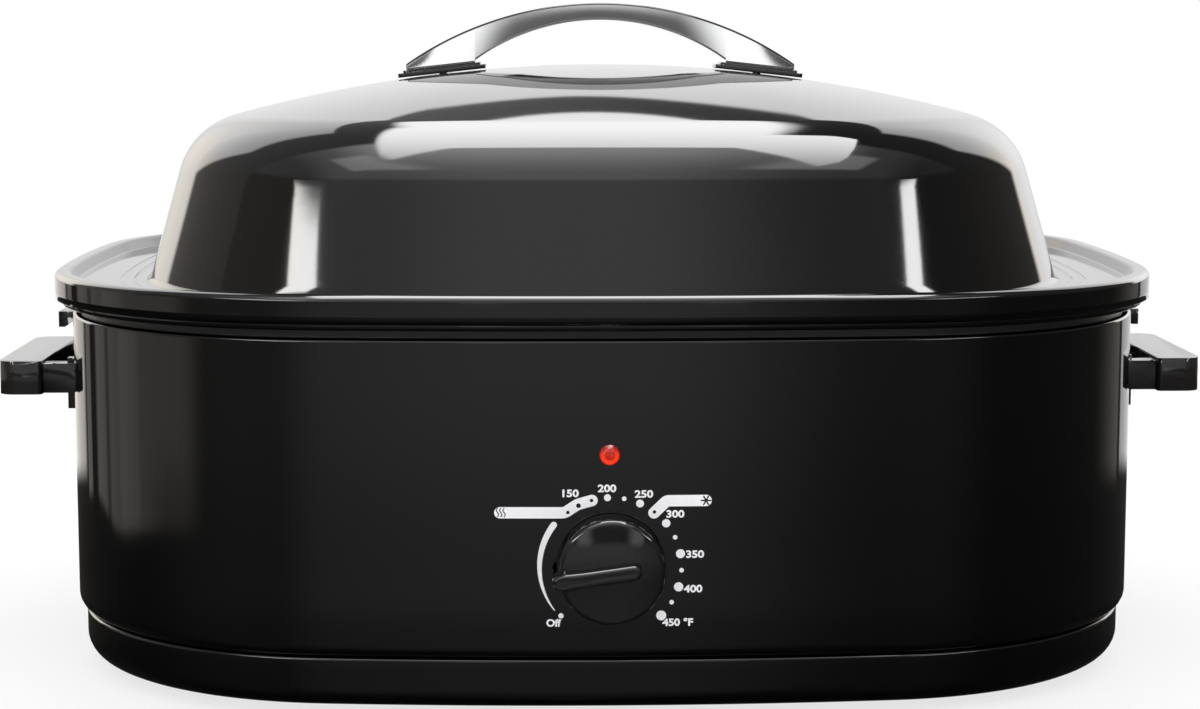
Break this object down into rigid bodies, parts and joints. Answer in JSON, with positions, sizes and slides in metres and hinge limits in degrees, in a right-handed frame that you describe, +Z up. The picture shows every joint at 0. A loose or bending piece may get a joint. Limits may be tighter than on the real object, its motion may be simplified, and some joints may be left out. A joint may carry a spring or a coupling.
{
  "type": "electric roaster oven",
  "caption": "Black enamelled countertop roaster oven with a lift-off domed lid, chrome lid handle, side carry handles, temperature dial and red pilot lamp.",
  "frame": {"origin": "on the plane that the feet stand on, under the middle of the housing's outline", "axes": "+X to the right along the length as seen from the dial's side, +Y to the back, +Z up"},
  "size_m": [0.58, 0.4355, 0.3086],
  "materials": {
    "black_enamel": "gloss porcelain enamel",
    "black_moulding": "satin",
    "black_knob": "semi-gloss",
    "chrome": "polished",
    "bright_steel": "aluminised",
    "zinc_steel": "zinc plated",
    "rubber": "matt",
    "red_lens": "clear red",
    "glass": "clear",
    "glass_fibre": "needled felt",
    "mica": "mica",
    "white_ceramic": "glazed",
    "phenolic": "moulded",
    "sleeve": "braided glass sleeve"
  },
  "bodies": {
    "oven": {"outer_housing": "black_enamel", "base_pan": "black_enamel", "foot_front_left": "rubber", "foot_front_right": "rubber", "foot_back_left": "rubber", "foot_back_right": "rubber", "foot_screws": "zinc_steel", "heating_well": "bright_steel", "heat_shield": "bright_steel", "tie_rod": "zinc_steel", "tie_rod_nut": "zinc_steel", "heater_band_lower": "mica", "heater_band_upper": "mica", "band_clamps": "zinc_steel", "insulation_blanket": "glass_fibre", "thermostat_bracket": "zinc_steel", "thermostat_body": "phenolic", "thermostat_screws": "zinc_steel", "indicator_lens": "red_lens", "neon_lamp": "glass", "lens_retainer": "zinc_steel", "cord_gland": "black_moulding", "terminal_block": "white_ceramic", "earth_screw": "zinc_steel", "thermal_fuse": "bright_steel", "internal_leads": "sleeve", "carry_handle_right": "black_moulding", "carry_handle_left": "black_moulding", "handle_screws": "zinc_steel", "handle_washers": "zinc_steel"},
    "pan": {"cookwell_pan": "black_enamel"},
    "rack": {"rack_hoop": "chrome", "rack_legs": "chrome", "rack_rungs": "chrome", "rack_bails": "chrome"},
    "lid": {"lid_shell": "black_enamel", "lid_handle_pad_right": "black_moulding", "lid_handle_pad_left": "black_moulding", "lid_handle": "chrome", "lid_handle_screws": "zinc_steel", "lid_handle_washers": "zinc_steel"},
    "control": {"control_knob": "black_knob", "thermostat_shaft": "bright_steel", "knob_spring": "bright_steel"}
  },
  "joints": [
    {"name": "pan_lift", "type": "slide", "parent": "oven", "child": "pan", "axis": [0, 0, 1], "range_m": [0, 0.14]},
    {"name": "rack_lift", "type": "slide", "parent": "pan", "child": "rack", "axis": [0, 0, 1], "range_m": [0, 0.12]},
    {"name": "lid_lift", "type": "slide", "parent": "pan", "child": "lid", "axis": [0, 0, 1], "range_m": [0, 0.15]},
    {"name": "knob_turn", "type": "hinge", "parent": "oven", "child": "control", "pos_m": [0, -0.2035, 0.068], "axis": [0, -1, 0], "range_deg": [-232, 36]}
  ]
}
